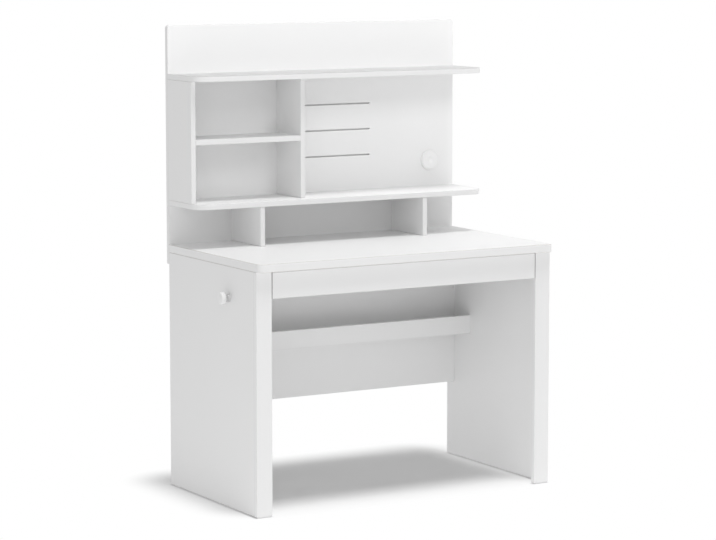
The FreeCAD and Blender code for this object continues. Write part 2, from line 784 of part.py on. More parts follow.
def export():
    """Cut the holes, move every piece to the shared origin and write one file for each node."""
    os.makedirs("parts", exist_ok=True)
    for node, solid in pieces.items():
        if node in cuts:
            solid = solid.cut(cuts[node])
        write(node, solid.Solids)
    for node, solids in groups.items():
        write(node, solids)


def write(node, solids):
    shape = solids[0] if len(solids) == 1 else Part.makeCompound(solids)
    shape.translated(-origin).exportStep("parts/%s.step" % node)


make_desktop()
for side in ("left", "right"):
    make_leg(side)
    make_packer(side)
    make_runner(side)
make_modesty_panel()
make_cable_tray()
make_bag_peg()
make_drawer()
make_back_panel()
make_shelves()
make_uprights()
make_mid_shelf()
make_grommet()
export()
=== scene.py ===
import json
import math
from collections import namedtuple

import bpy
import numpy as np
from bpy.props import FloatProperty, FloatVectorProperty, IntProperty, PointerProperty
from mathutils import Euler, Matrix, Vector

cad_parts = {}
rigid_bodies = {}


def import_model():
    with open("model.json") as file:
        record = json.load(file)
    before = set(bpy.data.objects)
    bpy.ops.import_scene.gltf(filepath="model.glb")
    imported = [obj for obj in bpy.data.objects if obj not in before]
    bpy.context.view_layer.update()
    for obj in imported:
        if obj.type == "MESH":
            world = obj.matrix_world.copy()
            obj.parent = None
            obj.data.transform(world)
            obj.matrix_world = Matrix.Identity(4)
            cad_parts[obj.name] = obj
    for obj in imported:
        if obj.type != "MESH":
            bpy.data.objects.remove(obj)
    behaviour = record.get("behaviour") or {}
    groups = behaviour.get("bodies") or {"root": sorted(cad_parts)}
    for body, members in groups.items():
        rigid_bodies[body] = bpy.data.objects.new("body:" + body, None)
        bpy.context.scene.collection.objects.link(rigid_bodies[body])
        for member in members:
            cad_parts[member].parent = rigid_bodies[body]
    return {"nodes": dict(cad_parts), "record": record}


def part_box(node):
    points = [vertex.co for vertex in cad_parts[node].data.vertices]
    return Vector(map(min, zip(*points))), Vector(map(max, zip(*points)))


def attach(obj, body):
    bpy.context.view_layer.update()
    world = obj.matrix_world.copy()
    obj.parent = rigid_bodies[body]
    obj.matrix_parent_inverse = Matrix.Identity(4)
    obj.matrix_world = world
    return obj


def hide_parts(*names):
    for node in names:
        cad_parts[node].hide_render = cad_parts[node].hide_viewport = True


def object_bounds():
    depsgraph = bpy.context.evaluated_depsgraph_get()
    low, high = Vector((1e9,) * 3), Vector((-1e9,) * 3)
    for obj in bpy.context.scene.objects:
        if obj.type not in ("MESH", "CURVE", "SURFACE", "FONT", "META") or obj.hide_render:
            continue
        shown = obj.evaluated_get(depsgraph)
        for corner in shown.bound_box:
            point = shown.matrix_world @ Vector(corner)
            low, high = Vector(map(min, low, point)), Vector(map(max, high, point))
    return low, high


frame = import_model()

bl_info = {
    "name": "Student desk with hutch",
    "version": (1, 0, 0),
    "blender": (4, 5, 0),
    "location": "3D View > Sidebar > Desk",
    "description": "Finishes a student desk's boards, makes its turned and rolled pieces and sets the stage",
    "category": "Object",
}

MM = 0.001
CAD_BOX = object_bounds()
RECORD = frame["record"]
BODY_OF = {node: body for body, nodes in RECORD["behaviour"]["bodies"].items() for node in nodes}
SLOT_OF = {row["node"]: row["material_slot"] for row in RECORD["subparts"]}
SIDES = ("left", "right")

Shell = namedtuple("Shell", "points quads triangles own")      # own keeps the points as they were made
Seat = namedtuple("Seat", "place axis length radius")          # where a fastener starts, its way and sizes


# Reading the frame

WELD = 0.001 * MM               # corners nearer than this are one corner
END_SHARE = 0.15                # part of a fastener's length that counts as its end


def solids_of(node):
    """The points of each solid of a CAD node, as a list of arrays.

    Corners at one place count as one. Every corner takes the lowest number among its triangles' corners,
    again and again, until each solid is left with a single number.
    """
    mesh = frame["nodes"][node].data
    points = np.empty(3 * len(mesh.vertices), np.float32)
    mesh.vertices.foreach_get("co", points)
    corners = np.empty(len(mesh.loops), np.int32)
    mesh.loops.foreach_get("vertex_index", corners)
    points = points.reshape(-1, 3).astype(float)
    places, place_of = np.unique(np.round(points / WELD), axis=0, return_inverse=True)
    place_of = place_of.ravel()
    triangles = place_of[corners].reshape(-1, 3)
    number = np.arange(len(places))
    settled = False
    while not settled:
        lower = number.copy()
        np.minimum.at(lower, triangles, number[triangles].min(1, keepdims=True))
        lower = lower[lower]
        settled = (lower == number).all()
        number = lower
    return [points[number[place_of] == solid] for solid in np.unique(number)]


def boxes_of(node):
    """The lowest and highest corner of each solid of a CAD node."""
    return [(points.min(0), points.max(0)) for points in solids_of(node)]


def seats_of(node):
    """Where each long fastener of a CAD node sits: the middle of its thicker end, its direction and sizes."""
    seats = []
    for points in solids_of(node):
        low, high = points.min(0), points.max(0)
        along = int(np.argmax(high - low))
        length = (high - low)[along]
        middle = (low + high) / 2
        reach = np.linalg.norm(np.delete(points - middle, along, 1), axis=1)
        near = reach[points[:, along] < low[along] + END_SHARE * length].max()
        far = reach[points[:, along] > high[along] - END_SHARE * length].max()
        axis = np.zeros(3)
        axis[along] = 1.0 if near >= far else -1.0
        place = middle - axis * length / 2
        seats.append(Seat(place, axis, length, reach.max()))
    return seats


def nodes_of(slot):
    """The CAD nodes that have a material slot of the record."""
    return [node for node in SLOT_OF if SLOT_OF[node] == slot]


def box_of(node):
    """The lowest and highest corner of a CAD node, as arrays."""
    low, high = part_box(node)
    return np.array(low), np.array(high)


# Surfaces

TINY = 1e-9                     # stands for nothing where it divides


def round_angles(sides):
    """The angles of even steps round a circle."""
    return 2 * np.pi * np.arange(sides) / sides


def arc(middle, radius, start, end, steps):
    """Points of a profile's arc about its middle, from one angle to another, in degrees."""
    angle = np.radians(np.linspace(start, end, steps))
    return np.stack([middle[0] + radius * np.cos(angle), middle[1] + radius * np.sin(angle)], axis=1)


def turned(radius, height, sides):
    """Rings of a turned surface: step i at angle t is (r cos t, r sin t, h), and r and h may vary with t."""
    angle = round_angles(sides)
    shape = (len(radius), sides)
    radius = np.broadcast_to(np.reshape(radius, (shape[0], -1)), shape)
    height = np.broadcast_to(np.reshape(height, (shape[0], -1)), shape)
    return np.stack([radius * np.cos(angle), radius * np.sin(angle), height], axis=2)


def loft(rings):
    """A closed shell over rings that run anticlockwise, from the lower end outside to the upper end.

    Point (i, j) is step j of ring i. Quads join it to its neighbours, and the first and last ring shrink to
    their middles.
    """
    count, sides = rings.shape[:2]
    ends = rings[[0, -1]].mean(1)
    points = np.concatenate([ends[:1], rings[1:-1].reshape(-1, 3), ends[1:]])
    index = 1 + np.arange((count - 2) * sides).reshape(count - 2, sides)
    after = np.roll(index, -1, axis=1)
    quads = np.stack([index[:-1], after[:-1], after[1:], index[1:]], axis=2).reshape(-1, 4)
    first = np.zeros(sides, int)
    last = np.full(sides, len(points) - 1)
    start = np.stack([first, after[0], index[0]], axis=1)
    end = np.stack([last, index[-1], after[-1]], axis=1)
    return Shell(points, quads, np.concatenate([start, end]), points)


def hoop(rings):
    """A closed shell as a loft, its last ring joined to its first: a profile loop carried round a circle."""
    count, sides = rings.shape[:2]
    index = np.arange(count * sides).reshape(count, sides)
    after = np.roll(index, -1, axis=1)
    quads = np.stack([index, after, np.roll(after, -1, axis=0), np.roll(index, -1, axis=0)], axis=2)
    points = rings.reshape(-1, 3)
    return Shell(points, quads.reshape(-1, 4), np.empty((0, 3), int), points)


def lathe(profile, sides):
    """A closed shell from (radius, height) steps of a profile that starts and ends on its axis."""
    return loft(turned(*profile.T, sides))


def rolled(line, sheet, start, end):
    """A closed shell of rolled sheet: a middle line in X and Z, half the sheet to each side, taken along Y.

    The line runs anticlockwise as seen from the front, so that its left is the hollow of the section.
    """
    step = np.gradient(line, axis=0)
    left = np.stack([-step[:, 1], step[:, 0]], axis=1) / np.linalg.norm(step, axis=1, keepdims=True)
    outline = np.concatenate([line - left * sheet / 2, (line + left * sheet / 2)[::-1]])
    count = len(outline)
    ends = [np.insert(outline, 1, y, axis=1) for y in (start, end)]
    near = np.arange(count)
    following = np.roll(near, -1)
    skin = np.stack([near, near + count, following + count, following], axis=1)
    outer = near[: count // 2 - 1]
    cap = np.stack([outer, outer + 1, count - 2 - outer, count - 1 - outer], axis=1)
    quads = np.concatenate([skin, cap, cap[:, ::-1] + count])
    points = np.concatenate(ends)
    return Shell(points, quads, np.empty((0, 3), int), points)


def placed(shell, place, axis):
    """The shell with its own +Z turned to one of the frame's axes and its origin moved to a place."""
    third = np.asarray(axis, float)
    first = np.roll(third, 1)
    second = np.cross(third, first)
    return shell._replace(points=shell.points @ np.stack([first, second, third]) + place)


def seated(make, node, sizes):
    """A shell for each long fastener of a CAD node, made for its seat and put there."""
    return [placed(make(seat, sizes), seat.place, seat.axis) for seat in seats_of(node)]


def stood(shell, low, high, axis):
    """The shell with its own +Z along an axis, from the middle of the face where that axis enters a box."""
    return placed(shell, (low + high - (high - low) * axis) / 2, axis)


def ridge(height, start, end, pitch, depth, sides):
    """How far a screw thread stands out at each height and angle.

    It is depth * (1 - |2 s - 1|), where s is the fraction left over from height / pitch - angle / full turn.
    It fades in and out over one pitch at its ends.
    """
    share = (height[:, None] / pitch - np.arange(sides) / sides) % 1.0
    fade = np.clip(np.minimum(height - start, end - height) / pitch, 0, 1)
    return depth * fade[:, None] * (1 - np.abs(2 * share - 1))


def cross_outline(half_length, half_width, sides):
    """The distance from a cross's middle to its outline at each angle: the longer of two crossed bars."""
    angle = round_angles(sides)
    run = np.maximum(np.abs([np.cos(angle), np.sin(angle)]), TINY)
    bars = np.minimum(half_length / run, half_width / run[::-1])
    return bars.max(0)


def hexagon_outline(half_width, sides):
    """The distance from a hexagon's middle to its outline at each angle: half its width over a cosine."""
    angle = round_angles(sides)
    sixth = np.pi / 3
    return half_width / np.cos((angle + sixth / 2) % sixth - sixth / 2)


# Putting pieces together

SHARP = math.radians(40)
OWN_PLACE = "own_place"         # attribute that holds each point's place on its own piece
OWN_STEP = 0.37                 # keeps the grain of like pieces apart


def build(name, shells, material, *nodes):
    """One object made of several shells, which stands for CAD nodes of one body: it joins that body, takes
    the given material, and the nodes are hidden.
    """
    starts = np.cumsum([0] + [len(shell.points) for shell in shells])
    points = np.concatenate([shell.points for shell in shells])
    quads = np.concatenate([shell.quads + start for shell, start in zip(shells, starts)])
    triangles = np.concatenate([shell.triangles + start for shell, start in zip(shells, starts)])
    own = np.concatenate([shell.own + OWN_STEP * number for number, shell in enumerate(shells)])
    mesh = bpy.data.meshes.new(name)
    mesh.from_pydata(points, [], quads.tolist() + triangles.tolist())
    mesh.attributes.new(OWN_PLACE, "FLOAT_VECTOR", "POINT").data.foreach_set("vector", own.ravel())
    mesh.shade_smooth()
    mesh.set_sharp_from_angle(angle=SHARP)
    mesh.materials.append(material)
    if mesh.validate():
        raise ValueError(f"{name} has faces that can't stand")
    piece = bpy.data.objects.new(name, mesh)
    bpy.context.scene.collection.objects.link(piece)
    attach(piece, BODY_OF[nodes[0]])
    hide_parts(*nodes)


def dress(node, material):
    """Gives a CAD node that keeps its shape a material of this script."""
    for slot in frame["nodes"][node].material_slots:
        slot.material = material


# Shader nodes

def add_node(tree, kind, inputs=None, **settings):
    """A shader node with its settings, each input set to a value or linked to a socket."""
    node = tree.nodes.new("ShaderNode" + kind)
    for name, value in settings.items():
        setattr(node, name, value)
    for name, value in (inputs or {}).items():
        if isinstance(value, bpy.types.NodeSocket):
            tree.links.new(value, node.inputs[name])
        else:
            node.inputs[name].default_value = value
    return node


def calc(tree, operation, first, second=0.0):
    return add_node(tree, "Math", {0: first, 1: second}, operation=operation).outputs[0]


def vector_calc(tree, operation, first, second=(0.0, 0.0, 0.0)):
    return add_node(tree, "VectorMath", {0: first, 1: second}, operation=operation).outputs[0]


def parts_of(tree, vector):
    return add_node(tree, "SeparateXYZ", {0: vector}).outputs


def rise(tree, value, start, end, low=0.0, high=1.0):
    """A smooth step of the value, from low at start to high at end."""
    inputs = {"Value": value, "From Min": start, "From Max": end, "To Min": low, "To Max": high}
    return add_node(tree, "MapRange", inputs, interpolation_type="SMOOTHSTEP").outputs[0]


def spread(tree, value, low, high):
    """The value from 0 to 1 as a straight line from low to high."""
    return add_node(tree, "MapRange", {"Value": value, "To Min": low, "To Max": high}).outputs[0]


def noise(tree, vector, scale, detail, rough=0.5):
    inputs = {"Vector": vector, "Scale": scale, "Detail": detail, "Roughness": rough}
    return add_node(tree, "TexNoise", inputs).outputs["Fac"]


def mix_colour(tree, share, first, second):
    """A colour between two, each of which is three numbers or a socket."""
    inputs = {0: share, 6: opaque(first), 7: opaque(second)}    # 6 and 7 are the colours of a mix
    return add_node(tree, "Mix", inputs, data_type="RGBA").outputs[2]


def opaque(colour):
    return colour if isinstance(colour, bpy.types.NodeSocket) else (*colour, 1.0)


def toned(colour, factor):
    return tuple(channel * factor for channel in colour)


def drift_of(tree, share, colour, reach):
    """A colour that drifts to both sides of its tone by a part of it."""
    return mix_colour(tree, share, toned(colour, 1 - reach), toned(colour, 1 + reach))


def new_material(name, **constants):
    """A material whose Principled shader has its constant sockets set, with its node tree and shader."""
    material = bpy.data.materials.new(name)
    material.use_nodes = True
    shader = material.node_tree.nodes["Principled BSDF"]
    for socket, value in constants.items():
        shader.inputs[socket.replace("_", " ")].default_value = value
    return material, material.node_tree, shader


def surface(tree, shader, colour, roughness, height, depth):
    """Links what changes over the surface: colour, roughness and a relief of the given depth."""
    bump = add_node(tree, "Bump", {"Height": height, "Distance": depth, "Strength": 1.0})
    tree.links.new(colour, shader.inputs["Base Color"])
    tree.links.new(roughness, shader.inputs["Roughness"])
    tree.links.new(bump.outputs["Normal"], shader.inputs["Normal"])


def object_place(tree):
    return add_node(tree, "TexCoord").outputs["Object"]


# Shared effects

def shader_group(name, inputs, outputs, fill):
    """A shader node group with named sockets, built once. fill returns a socket for each output."""
    tree = bpy.data.node_groups.get(name)
    if tree:
        return tree
    tree = bpy.data.node_groups.new(name, "ShaderNodeTree")
    for label, kind in inputs.items():
        tree.interface.new_socket(label, in_out="INPUT", socket_type="NodeSocket" + kind)
    for label in outputs:
        tree.interface.new_socket(label, in_out="OUTPUT", socket_type="NodeSocketFloat")
    entry = tree.nodes.new("NodeGroupInput")
    leave = tree.nodes.new("NodeGroupOutput")
    for label, socket in zip(outputs, fill(tree, entry.outputs)):
        tree.links.new(socket, leave.inputs[label])
    return tree


def grouped(tree, group, **inputs):
    """The outputs of a group placed in a material with its own values."""
    return add_node(tree, "Group", inputs, node_tree=group).outputs


def board_edges():
    """Distances on a board: Edge to its nearest edge along the surface, Depth below its outer faces.

    With m the distances to the nearest face along each axis and r the plan radius of the front corners, the
    plan distance is r - |max(r - m, 0)| - min(max(r - mx, r - my), 0). Edge is the larger of the plan
    distance and the smaller of mz and the larger of mx and my. Depth is the smaller of the plan distance
    and mz.
    """
    def fill(tree, given):
        offset = vector_calc(tree, "SUBTRACT", given["Vector"], given["Middle"])
        margin = vector_calc(tree, "SUBTRACT", given["Half"], vector_calc(tree, "ABSOLUTE", offset))
        x, y, z = parts_of(tree, margin)
        in_front = calc(tree, "LESS_THAN", parts_of(tree, offset)[1], 0.0)
        radius = calc(tree, "MULTIPLY", given["Corner"], in_front)
        past_x = calc(tree, "SUBTRACT", radius, x)
        past_y = calc(tree, "SUBTRACT", radius, y)
        square_x = calc(tree, "POWER", calc(tree, "MAXIMUM", past_x, 0.0), 2.0)
        square_y = calc(tree, "POWER", calc(tree, "MAXIMUM", past_y, 0.0), 2.0)
        round_part = calc(tree, "SQRT", calc(tree, "ADD", square_x, square_y))
        straight_part = calc(tree, "MINIMUM", calc(tree, "MAXIMUM", past_x, past_y), 0.0)
        plan = calc(tree, "SUBTRACT", calc(tree, "SUBTRACT", radius, round_part), straight_part)
        second = calc(tree, "MINIMUM", calc(tree, "MAXIMUM", x, y), z)
        return calc(tree, "MAXIMUM", plan, second), calc(tree, "MINIMUM", plan, z)

    inputs = {"Vector": "Vector", "Middle": "Vector", "Half": "Vector", "Corner": "Float"}
    return shader_group("Board edges", inputs, ("Edge", "Depth"), fill)


def pressed_pearl():
    """The fine pearl of a pressed or moulded surface: Height of its relief and a slow Cloud of its tone.

    The relief is two noises, one about Size across and one a third of that. The cloud is a noise about Span
    across.
    """
    def fill(tree, given):
        finer, fine_share = 3.0, 0.4
        scale = calc(tree, "DIVIDE", 1.0, given["Size"])
        coarse = noise(tree, given["Vector"], scale, detail=1.0)
        fine = noise(tree, given["Vector"], calc(tree, "MULTIPLY", scale, finer), detail=1.0)
        height = calc(tree, "ADD", coarse, calc(tree, "MULTIPLY", fine, fine_share))
        cloud = noise(tree, given["Vector"], calc(tree, "DIVIDE", 1.0, given["Span"]), detail=3.0, rough=0.6)
        return height, cloud

    inputs = {"Vector": "Vector", "Size": "Float", "Span": "Float"}
    return shader_group("Pressed pearl", inputs, ("Height", "Cloud"), fill)


def long_fibre():
    """Fibres that run along Z: a noise squeezed to Width across and drawn out Stretch times along."""
    def fill(tree, given):
        along = calc(tree, "DIVIDE", 1.0, given["Stretch"])
        squeeze = add_node(tree, "CombineXYZ", {0: 1.0, 1: 1.0, 2: along}).outputs[0]
        drawn = vector_calc(tree, "MULTIPLY", given["Vector"], squeeze)
        scale = calc(tree, "DIVIDE", 1.0, given["Width"])
        fibre = noise(tree, drawn, scale, detail=4.0, rough=0.6)
        finer, pore_start, pore_whole = 2.5, 0.6, 0.75
        spots = noise(tree, drawn, calc(tree, "MULTIPLY", scale, finer), detail=1.0)
        return fibre, rise(tree, spots, pore_start, pore_whole)

    inputs = {"Vector": "Vector", "Width": "Float", "Stretch": "Float"}
    return shader_group("Long fibre", inputs, ("Fibre", "Pore"), fill)


def handling():
    """Marks of making and handling on metal: Smudge, a soft cloud, and Scratch, fine lines along Y."""
    def fill(tree, given):
        drawn_out = (1.0, 0.02, 1.0)
        smudge = noise(tree, given["Vector"], calc(tree, "DIVIDE", 1.0, given["Span"]), detail=3.0, rough=0.6)
        drawn = vector_calc(tree, "MULTIPLY", given["Vector"], drawn_out)
        lines = noise(tree, drawn, calc(tree, "DIVIDE", 1.0, given["Line"]), detail=3.0, rough=0.7)
        return smudge, lines

    inputs = {"Vector": "Vector", "Span": "Float", "Line": "Float"}
    return shader_group("Handling", inputs, ("Smudge", "Scratch"), fill)


# Materials

def laminate(node, look, corner, bare_holes):
    """Satin melamine on particle board, with an edge band, its glue line, and the raw core in bare holes."""
    gloss_drift, band_gloss, core_roughness, groove = 0.05, 0.06, 0.9, 2.0
    low, high = box_of(node)
    material, tree, shader = new_material("laminate_" + node, Specular_IOR_Level=0.45)
    place = object_place(tree)
    middle, half = (low + high) / 2, (high - low) / 2
    edge, depth = grouped(tree, board_edges(), Vector=place, Middle=middle, Half=half, Corner=corner)
    height, cloud = grouped(tree, pressed_pearl(), Vector=place, Size=look.pearl, Span=look.cloud_span)
    off_line = calc(tree, "ABSOLUTE", calc(tree, "SUBTRACT", edge, look.band))
    seam = rise(tree, off_line, 0.0, look.seam, 1.0, 0.0)
    banded = rise(tree, edge, look.band - look.seam, look.band, 1.0, 0.0)
    colour = drift_of(tree, cloud, look.white, look.cloud)
    colour = mix_colour(tree, banded, colour, toned(look.white, look.band_tone))
    colour = mix_colour(tree, seam, colour, toned(look.white, look.seam_tone))
    rough = spread(tree, height, look.roughness - gloss_drift, look.roughness + gloss_drift)
    rough = calc(tree, "SUBTRACT", rough, calc(tree, "MULTIPLY", banded, band_gloss))
    if bare_holes:
        dark_chip, light_chip = 0.35, 0.65
        chips = noise(tree, place, 1 / look.chip, detail=3.0, rough=0.7)
        chips = rise(tree, chips, dark_chip, light_chip)
        drilled = rise(tree, depth, look.skin, 2 * look.skin)
        colour = mix_colour(tree, drilled, colour, mix_colour(tree, chips, look.core_dark, look.core_light))
        rough = calc(tree, "MAXIMUM", rough, calc(tree, "MULTIPLY", drilled, core_roughness))
    relief = calc(tree, "SUBTRACT", height, calc(tree, "MULTIPLY", seam, groove))
    surface(tree, shader, colour, rough, relief, look.relief)
    return material


def hardboard(look):
    """Thin hardboard with a white lacquered face, through which short fibres show."""
    shade, tint, shown = 0.93, 0.97, 0.25
    smooth, dull, depth = 0.5, 0.65, 0.05 * MM
    material, tree, shader = new_material("lacquered_hardboard", Specular_IOR_Level=0.4)
    place = object_place(tree)
    height, cloud = grouped(tree, pressed_pearl(), Vector=place, Size=2.2 * MM, Span=0.15)
    fibre, pore = grouped(tree, long_fibre(), Vector=place, Width=0.8 * MM, Stretch=3.0)
    colour = mix_colour(tree, cloud, toned(look.white, shade), toned(look.white, tint))
    colour = mix_colour(tree, calc(tree, "MULTIPLY", pore, shown), colour, look.core_light)
    relief = calc(tree, "ADD", height, fibre)
    surface(tree, shader, colour, spread(tree, fibre, smooth, dull), relief, depth)
    return material


def batten(look):
    """A planed softwood batten under a thin white primer, with its grain along the drawer's way."""
    shade, tint, shown = 0.82, 0.97, 0.3
    smooth, dull, depth = 0.65, 0.8, 0.1 * MM
    material, tree, shader = new_material("primed_batten", Specular_IOR_Level=0.3)
    place = object_place(tree)
    turn = (math.radians(90), 0.0, 0.0)
    upright = add_node(tree, "Mapping", {"Vector": place, "Rotation": turn}).outputs[0]
    fibre, pore = grouped(tree, long_fibre(), Vector=upright, Width=2.5 * MM, Stretch=30.0)
    colour = mix_colour(tree, fibre, toned(look.white, shade), toned(look.white, tint))
    colour = mix_colour(tree, calc(tree, "MULTIPLY", pore, shown), colour, look.core_light)
    surface(tree, shader, colour, spread(tree, fibre, smooth, dull), fibre, depth)
    return material


def beech(look):
    """Beech of the dowels, with its grain and short dark flecks along each dowel."""
    shown, fleck = 0.5, 0.6
    smooth, dull, depth = 0.55, 0.75, 0.08 * MM
    material, tree, shader = new_material("fluted_beech", Specular_IOR_Level=0.3)
    own = add_node(tree, "Attribute", attribute_name=OWN_PLACE).outputs["Vector"]
    fibre, pore = grouped(tree, long_fibre(), Vector=own, Width=1.2 * MM, Stretch=14.0)
    colour = mix_colour(tree, fibre, look.beech_dark, look.beech_light)
    colour = mix_colour(tree, calc(tree, "MULTIPLY", pore, shown), colour, toned(look.beech_dark, fleck))
    surface(tree, shader, colour, spread(tree, fibre, smooth, dull), fibre, depth)
    return material


def plated(name, tone, look, span, line, roughness):
    """Zinc-plated or cast metal with smudges and fine lines from rolling, drawing or handling."""
    from_smudge, from_scratch, reach, depth = 0.6, 0.4, 0.12, 0.02 * MM
    material, tree, shader = new_material(name, Metallic=1.0)
    place = object_place(tree)
    smudge, scratch = grouped(tree, handling(), Vector=place, Span=span, Line=line)
    colour = drift_of(tree, smudge, tone, look.metal_cloud)
    smudge_part = calc(tree, "MULTIPLY", smudge, from_smudge)
    worn = calc(tree, "ADD", smudge_part, calc(tree, "MULTIPLY", scratch, from_scratch))
    rough = spread(tree, worn, roughness - reach, roughness + reach)
    surface(tree, shader, colour, rough, scratch, depth)
    return material


def moulded(name, look, tone, grain):
    """Moulded white plastic with a fine spark-eroded grain."""
    smooth, dull, depth = 0.33, 0.45, 0.02 * MM
    material, tree, shader = new_material(name, Specular_IOR_Level=0.5)
    place = object_place(tree)
    height, cloud = grouped(tree, pressed_pearl(), Vector=place, Size=grain, Span=30 * MM)
    colour = drift_of(tree, cloud, toned(look.white, tone), look.cloud)
    surface(tree, shader, colour, spread(tree, height, smooth, dull), height, depth)
    return material


# Settings

def setting(kind, **limits):
    """A maker of one kind of property, which takes a name, a description and a default."""
    def make(name, description, default):
        return kind(name=name, description=description, default=default, **limits)

    return make


Angle = setting(FloatProperty, subtype="ANGLE")
Colour = setting(FloatVectorProperty, size=3, min=0.0, max=1.0, subtype="COLOR")
Focus = setting(FloatProperty, min=10.0, unit="CAMERA")
Length = setting(FloatProperty, min=0.0, unit="LENGTH")
Place = setting(FloatVectorProperty, size=3, subtype="TRANSLATION")
Plan = setting(FloatVectorProperty, size=2, unit="LENGTH")
Power = setting(FloatProperty, min=0.0, unit="POWER")
Share = setting(FloatProperty, min=0.0, max=2.0, subtype="FACTOR")
Steps = setting(IntProperty, min=4, max=144)


class DeskLook(bpy.types.PropertyGroup):
    """Colours and fine structure of the finishes"""

    white: Colour("White", "Tone of the melamine faces and the plastics", (0.885, 0.885, 0.885))
    cloud: Share("Cloud", "How far the white drifts over a face", 0.008)
    cloud_span: Length("Cloud span", "Width of the drifts in the white", 0.4)
    roughness: Share("Roughness", "Roughness of the satin melamine", 0.5)
    pearl: Length("Pearl", "Width of the pearls in the pressed face", 1.6 * MM)
    relief: Length("Relief", "Depth of the pressed face", 0.012 * MM)
    band: Length("Edge band", "Thickness of the band glued to the edges", 1.0 * MM)
    band_tone: Share("Band tone", "Tone of the edge band against the faces", 0.985)
    seam: Length("Glue line", "Width of the line between band and face", 0.25 * MM)
    seam_tone: Share("Glue line tone", "Tone of the glue line against the faces", 0.78)
    desktop_corner: Length("Desktop corner", "Radius of the desktop's front corners", 16 * MM)
    shelf_corner: Length("Shelf corner", "Radius of the shelves' front corners", 48 * MM)
    skin: Length("Skin", "Thickness of the melamine over the raw core", 0.4 * MM)
    chip: Length("Chip", "Size of the chips in the raw core", 3.0 * MM)
    core_light: Colour("Light chips", "Lighter chips of the raw core", (0.48, 0.34, 0.20))
    core_dark: Colour("Dark chips", "Darker chips of the raw core", (0.22, 0.14, 0.08))
    beech_light: Colour("Light beech", "Lighter grain of the dowels", (0.62, 0.43, 0.26))
    beech_dark: Colour("Dark beech", "Darker grain of the dowels", (0.42, 0.26, 0.14))
    steel: Colour("Steel", "Zinc-plated steel of runners and screws", (0.56, 0.57, 0.59))
    zinc: Colour("Cast zinc", "Die-cast zinc of the cam locks", (0.42, 0.42, 0.44))
    nickel: Colour("Nickel", "Satin nickel of the bag peg's sleeve", (0.66, 0.66, 0.66))
    metal_cloud: Share("Metal cloud", "How far the tone of the metals drifts", 0.10)


class DeskSizes(bpy.types.PropertyGroup):
    """Sizes of the turned, rolled and moulded pieces that the frame doesn't give"""

    sides: Steps("Sides", "Steps round a turned piece", 72)
    thread_sides: Steps("Thread sides", "Steps round a thread", 18)
    thread_steps: Steps("Thread steps", "Steps along a turn of thread", 7)
    thread_depth: Length("Thread depth", "Height of a screw's thread", 0.7 * MM)
    screw_pitch: Length("Screw pitch", "Rise of a wood screw's thread in a turn", 1.8 * MM)
    panel_pitch: Length("Panel screw pitch", "Rise of a panel screw's thread in a turn", 3.0 * MM)
    bolt_pitch: Length("Bolt pitch", "Rise of a cam bolt's thread in a turn", 1.0 * MM)
    flutes: Steps("Flutes", "Flutes round a dowel", 18)
    flute_depth: Length("Flute depth", "Depth of a dowel's flutes", 0.35 * MM)
    dowel_chamfer: Length("Dowel chamfer", "Chamfer at the ends of a dowel", 1.0 * MM)
    roll: Length("Roll", "Radius of the bends in a runner member", 1.6 * MM)
    sheet: Length("Sheet", "Thickness of a runner member", 1.2 * MM)
    lip: Length("Lip", "Lip of the outer member over the balls", 1.0 * MM)
    dish_radius: Length("Dish radius", "Radius of the finger dish in the grommet cap", 14 * MM)
    dish_depth: Length("Dish depth", "Depth of the finger dish", 4.4 * MM)
    knob_round: Length("Knob rounding", "Rounding of the bag peg's knob", 4 * MM)
    peg_waist: Length("Peg waist", "How far the bag peg's sleeve narrows in the middle", 1.5 * MM)
    glide_round: Length("Glide rounding", "Rounding under a foot glide", 1.5 * MM)


class DeskStage(bpy.types.PropertyGroup):
    """Camera, floor and studio light"""

    camera_place: Place("Camera", "Place of the camera", (-4.1435, -7.0972, 1.7223))
    yaw: Angle("Yaw", "Turn of the view to the right of +Y", math.radians(30.328))
    pitch: Angle("Pitch", "Tilt of the view below level", math.radians(7.295))
    lens: Focus("Lens", "Focal length", 135.593)
    floor_radius: Length("Floor radius", "Radius of the floor", 14.0)
    floor_white: Share("Floor white", "How much of the light the floor gives back", 0.80)
    floor_seen: Share("Floor seen", "White of the floor as the camera sees it", 0.78)
    floor_glow: Share("Floor glow", "Light that the floor itself gives to the desk", 0.25)
    shadow_middle: Plan("Shadow middle", "Middle of the floor's shadow", (0.0, 0.10))
    shadow_half: Plan("Shadow half size", "Half the width and depth of the shadow", (0.42, 0.21))
    shadow_margin: Length("Shadow margin", "Distance over which the shadow fades to white", 0.22)
    shadow_lift: Share("Shadow lift", "White that the camera sees in the shadow", 0.02)
    contact_margin: Length("Contact margin", "How far the dark line under the legs reaches out", 8 * MM)
    sky: Share("Sky", "Strength of the even light from all round", 0.48)
    floor_light: Power("Floor light", "Power of the light that is kept to the floor", 40.0)
    key_light: Power("Key light", "Power of the light overhead", 162.0)
    side_light: Power("Side light", "Power of the light on the right", 28.0)
    fill_light: Power("Fill light", "Power of the light in front", 28.0)
    panel_light: Power("Panel light", "Power of the light on the back panel and the top shelf", 24.0)


# Operators

class DESK_OT_boards(bpy.types.Operator):
    """Gives the boards of the desk, the hutch and the drawer their satin white finish"""

    bl_idname = "desk.boards"
    bl_label = "Laminated boards"

    def execute(self, context):
        look = context.scene.desk_look
        corners = {
            "desktop": look.desktop_corner,
            "hutch_lower_shelf": look.shelf_corner,
            "hutch_top_shelf": look.shelf_corner,
        }
        lined = ("hutch_back_panel",)               # its slots are white inside
        for node in nodes_of("white_laminate"):
            dress(node, laminate(node, look, corners.get(node, 0.0), node not in lined))
        return {"FINISHED"}


